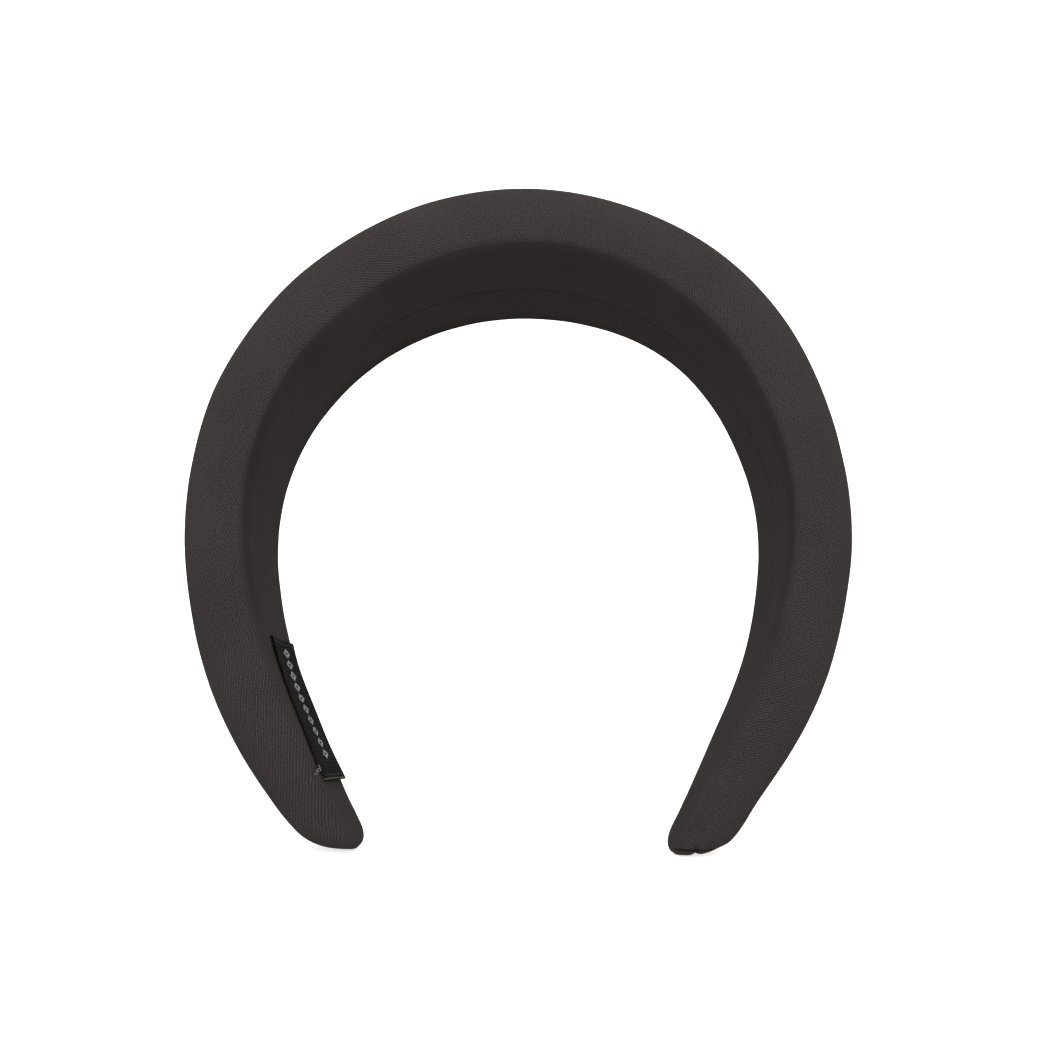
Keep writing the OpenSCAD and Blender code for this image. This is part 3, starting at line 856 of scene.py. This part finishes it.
def label_point(s, t, under=0.0):
    """Point on the tape in metres: s towards its upper end, t towards its back edge, under below its
    face. The front edge lies on the cover; the tape is stiff, so its back edge stands off."""
    u = LABEL_MIDDLE - s * np.cos(LABEL_TURN) + t * np.sin(LABEL_TURN)
    y = LABEL_BACK + s * np.sin(LABEL_TURN) + t * np.cos(LABEL_TURN)
    k = 2 * s / LABEL_L
    stand = 0.70 + 0.25 * k * k + 0.10 * np.sin(5 * k + 1)
    free = smooth((t + 1.5) / 9)   # 0 at the front edge and 1 at the back edge
    h = (1 - free) * (inner_face(u, y) - 0.35) - free * stand + 0.05 * np.sin(3.1 * k + t / 2)
    return made(-u, y, h + under)


def make_label():
    """The tape, with both ends turned under."""
    turn = [(HEM * (1 - k / 7), 2 * TAPE_T) for k in range(8)]
    for a in np.linspace(0, math.pi, 7)[1:-1]:
        turn.append((-TAPE_T * math.sin(a), TAPE_T * (1 + math.cos(a))))
    face = [(x, 0.0) for x in np.linspace(0, LABEL_L, 150)]
    line = turn + face + [(LABEL_L - x, z) for x, z in turn[::-1]]
    count = 30
    verts, weave = [], []
    for x, under in line:
        for j in range(count + 1):
            t = LABEL_W * (j / count - 0.5)
            if j in (0, count):
                t += math.copysign(0.09, t) * math.sin(2 * math.pi * x / 0.62)
            t += CORNER_IN * smooth((x - LABEL_L + 5) / 5) * smooth(-t / (LABEL_W / 2))
            verts.append(label_point(LABEL_L / 2 - x, t, under))
            weave.append((LABEL_L / 2 - x, t))
    faces = [q[::-1] for q in grid_faces(len(line), count + 1)]
    ob = mesh_object("woven_label", verts, faces, weave)
    ob.data.materials.append(label_mat)
    mod = ob.modifiers.new("thickness", "SOLIDIFY")
    mod.thickness = TAPE_T * 0.9 * MM
    mod.offset = 0
    mod.use_rim = True
    return ob


label = make_label()
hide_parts("label")
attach(label, "root")


def row_of_stitches(s):
    """Running stitches across the tape."""
    reach = LABEL_W / 2 - STITCH_IN
    threads = []
    for k in range(STITCH_COUNT):
        t = -reach + 2 * reach * (k + np.linspace(0.1, 0.9, 9)) / STITCH_COUNT
        hump = np.sin(np.linspace(0, math.pi, 9))
        at = s + 0.15 * math.sin(2.1 * k)
        points = [label_point(at, a, 0.05 - 0.24 * b) for a, b in zip(t, hump)]
        threads.append((points, LABEL_THREAD_R, 0))
    return threads


def pale_ends():
    """Pale thread along the lower hem, and the little tangle where it was fastened off at the front."""
    ts = np.linspace(-LABEL_W / 2 + 0.4, LABEL_W / 2 - 0.2, 60)
    under = -0.14 + 0.05 * np.sin(2 * math.pi * ts / 0.9)
    hem = [label_point(-LABEL_L / 2 + 0.12, t, b) for t, b in zip(ts, under)]
    threads = [(hem, HEM_THREAD_R, 1)]
    rng = np.random.default_rng(7)
    knot = np.array(label_point(-LABEL_L / 2 + 3.2, -LABEL_W / 2 - 0.25, -0.25))
    for k in range(5):
        centre = knot + rng.uniform(-0.3, 0.3, 3) * MM + np.array([0, 0, -0.35 * k]) * MM
        axis = rng.normal(size=3)
        e1 = np.cross(axis, [0.3, 0.5, 0.8])
        e1 /= np.linalg.norm(e1)
        e2 = np.cross(axis, e1)
        e2 /= np.linalg.norm(e2)
        r = rng.uniform(0.3, 0.55) * MM
        turns = rng.uniform(0, 2 * math.pi) + np.linspace(0, 4.4, 14)
        loop = [centre + r * (math.cos(a) * e1 + math.sin(a) * e2) for a in turns]
        threads.append((loop, KNOT_THREAD_R, 1))
    return threads


STITCH_AT = LABEL_L / 2 - STITCH_IN
thread_object("label_stitch_row_upper", row_of_stitches(STITCH_AT), [thread_mat], "label_stitches_upper")
thread_object("label_stitch_row_lower", row_of_stitches(-STITCH_AT) + pale_ends(), [thread_mat, knot_mat],
              "label_stitches_lower")


# ---------------------------------------------------------------- stitches that close the tips
def tip_stitches(arm):
    """Whip stitches that bridge the slit under the tip."""
    threads = []
    for h in np.linspace(3.3, 5.0, 4):
        across = np.linspace(-1, 1, 11)
        points = made(arm * TIP, 0.5 * arm + 0.9 * across, h + 0.25 * across)
        points[:, 2] += (0.40 + 0.15 * (1 - across ** 2) + 0.25 * across ** 8) * MM
        threads.append((points, TIP_THREAD_R, 0))
    return threads


thread_object("tip_whip_stitches_left", tip_stitches(1), [thread_mat], "tip_stitches_left")
thread_object("tip_whip_stitches_right", tip_stitches(-1), [thread_mat], "tip_stitches_right")


# ---------------------------------------------------------------- CAD pieces that stay
def refinish(node_name, mat):
    """Gives the CAD's own piece another material."""
    for ob in bpy.data.objects:
        if ob.get("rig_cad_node") == node_name:
            for slot in ob.material_slots:
                slot.material = mat
            return
    raise KeyError(node_name)


refinish("hoop", hoop_mat)
refinish("inner_felt", felt_mat)

# ---------------------------------------------------------------- studio
scene = bpy.context.scene
scene.view_settings.view_transform = "Standard"
LIGHT_FROM = Vector((0, -0.88, 0.475)).normalized()
AMBIENT = 0.77                 # light from all round
AMBIENT_SLOPE = 0.70           # share by which it is stronger where the light comes from
PALE = (0.93, 0.93, 0.93)
FLOOR_HALF = 4.0               # lengths are in metres from here on
BACKDROP_R = 6.0
CAMERA_AT = Vector((0.0003, 0, 0.0777))  # the camera looks at this point
CAMERA_REACH = 0.2             # from this far away
CAMERA_BELOW = 11.3 * DEG      # it stands this far below the level
CAMERA_ROLL = 0.6 * DEG
CAMERA_LENS = 27.67            # mm, on a sensor 36 mm wide


def soft_surroundings():
    """Light from all round, strongest from the front and above."""
    world = bpy.data.worlds.new("studio")
    scene.world = world
    world.use_nodes = True
    nt = world.node_tree
    background = nt.nodes["Background"]
    way = node(nt, "ShaderNodeTexCoord").outputs["Generated"]
    towards = node(nt, "ShaderNodeVectorMath", {0: way, 1: LIGHT_FROM}, operation="DOT_PRODUCT")
    strength = mth(nt, "MULTIPLY_ADD", towards.outputs["Value"], AMBIENT * AMBIENT_SLOPE, AMBIENT)
    nt.links.new(strength, background.inputs["Strength"])
    background.inputs["Color"].default_value = (1, 1, 1, 1)


def only_seen(ob):
    """Floor and backdrop are seen by the camera, and neither light nor shade the object."""
    ob.visible_diffuse = False
    ob.visible_glossy = False
    ob.visible_shadow = False


def white_material(name, colour, glow):
    mat, nt, sh = new_material(name)
    co = node(nt, "ShaderNodeTexCoord").outputs["Object"]
    grain = node(nt, "ShaderNodeTexNoise", {"Vector": co, "Scale": 60.0, "Detail": 2.0}).outputs[0]
    light = tuple(min(1.0, c + 0.02) for c in colour)
    nt.links.new(mix_colour(nt, grain, colour, light), sh.inputs["Base Color"])
    sh.inputs["Roughness"].default_value = 0.9
    sh.inputs["Specular IOR Level"].default_value = 0.0
    sh.inputs["Emission Color"].default_value = (1, 1, 1, 1)
    sh.inputs["Emission Strength"].default_value = glow
    return mat


def make_floor():
    """A wide floor just under the lower tip."""
    low = min(0.0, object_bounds()[0][2])
    corners = [(FLOOR_HALF * a, FLOOR_HALF * b, low) for a, b in ((-1, -1), (1, -1), (1, 1), (-1, 1))]
    ob = mesh_object("floor", corners, [(0, 1, 2, 3)])
    ob.data.materials.append(white_material("pale_floor", PALE, 0.7))
    only_seen(ob)


def make_backdrop():
    bm = bmesh.new()
    bmesh.ops.create_icosphere(bm, subdivisions=4, radius=BACKDROP_R)
    bmesh.ops.reverse_faces(bm, faces=bm.faces)
    me = bpy.data.meshes.new("backdrop")
    bm.to_mesh(me)
    bm.free()
    ob = bpy.data.objects.new("backdrop", me)
    scene.collection.objects.link(ob)
    me.materials.append(white_material("white_backdrop", PALE, 1.0))
    only_seen(ob)


def softbox(name, way, distance, size, power):
    """A square light that looks at the middle of the arch."""
    data = bpy.data.lights.new(name, "AREA")
    data.shape = "SQUARE"
    data.size = size
    data.energy = power
    ob = bpy.data.objects.new(name, data)
    ob.location = Vector((0, 0, 0.08)) + way * distance
    ob.rotation_mode = "QUATERNION"
    ob.rotation_quaternion = way.to_track_quat("Z", "Y")
    scene.collection.objects.link(ob)


def make_camera():
    """Low in front, looking slightly up, with the whole arch in view."""
    data = bpy.data.cameras.new("camera")
    data.sensor_width = 36
    data.lens = CAMERA_LENS
    data.clip_start = 0.01
    cam = bpy.data.objects.new("camera", data)
    scene.collection.objects.link(cam)
    scene.camera = cam
    back = Vector((0, -math.cos(CAMERA_BELOW), -math.sin(CAMERA_BELOW)))
    cam.location = CAMERA_AT + back * CAMERA_REACH
    cam.rotation_mode = "QUATERNION"
    cam.rotation_quaternion = back.to_track_quat("Z", "Y") @ Quaternion((0, 0, 1), CAMERA_ROLL)


soft_surroundings()
make_floor()
make_backdrop()
softbox("softbox", LIGHT_FROM, distance=1.3, size=1.2, power=4.6)
make_camera()
